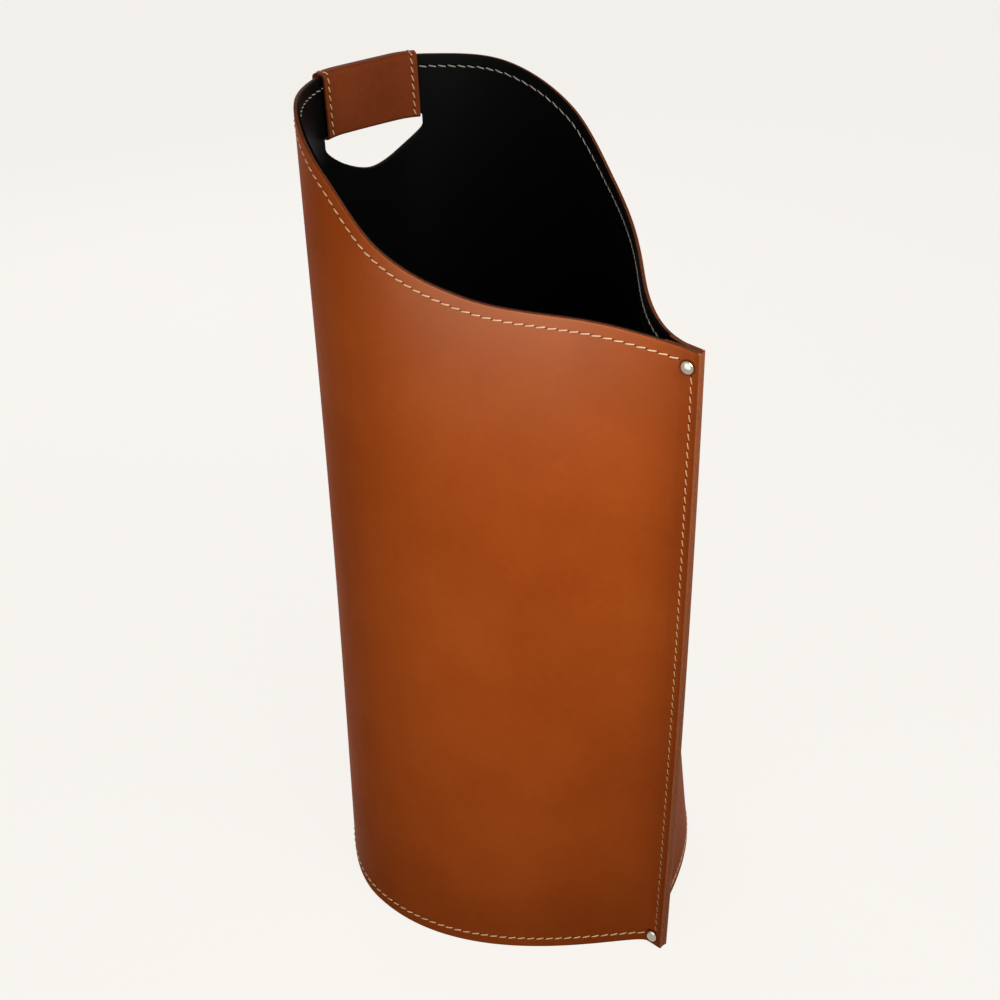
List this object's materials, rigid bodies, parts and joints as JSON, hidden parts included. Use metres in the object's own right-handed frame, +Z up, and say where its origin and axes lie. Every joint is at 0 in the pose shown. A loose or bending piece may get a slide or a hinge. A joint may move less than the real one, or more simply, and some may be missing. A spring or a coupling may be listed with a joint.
{
  "type": "pellet bag",
  "caption": "Free-standing leather bag that holds a sack's worth of wood pellets by the stove, with a rim that falls from a hand-hole handle at the back to a riveted seam at the front.",
  "frame": {"origin": "centre of the part's bounding box on the floor plane", "axes": "+Z up; -Y towards the stitched seam at the front, +Y towards the handle at the back; +X to the right when the seam is looked at"},
  "size_m": [0.28, 0.3704, 0.5933],
  "materials": {
    "cognac_leather": "smooth vegetable-tanned leather, waxed, burnished edges",
    "handle_leather": "smooth vegetable-tanned leather, darker from handling",
    "black_leather": "smooth black leather, soft sheen",
    "fibreboard": "raw pressed fibreboard",
    "waxed_thread": "waxed linen thread",
    "nickel": "nickel-plated steel, polished"
  },
  "bodies": {
    "root": {"outer_shell": "cognac_leather", "lining_shell": "black_leather", "base_panel": "cognac_leather", "base_board": "fibreboard", "base_lining": "black_leather", "handle_sleeve": "handle_leather", "rim_thread_outside": "waxed_thread", "rim_thread_inside": "waxed_thread", "seam_thread_left": "waxed_thread", "seam_thread_right": "waxed_thread", "base_thread_outside": "waxed_thread", "base_thread_inside": "waxed_thread", "handle_thread_left": "waxed_thread", "handle_thread_right": "waxed_thread", "top_rivet_cap": "nickel", "top_rivet_post": "nickel", "bottom_rivet_cap": "nickel", "bottom_rivet_post": "nickel"}
  },
  "joints": []
}
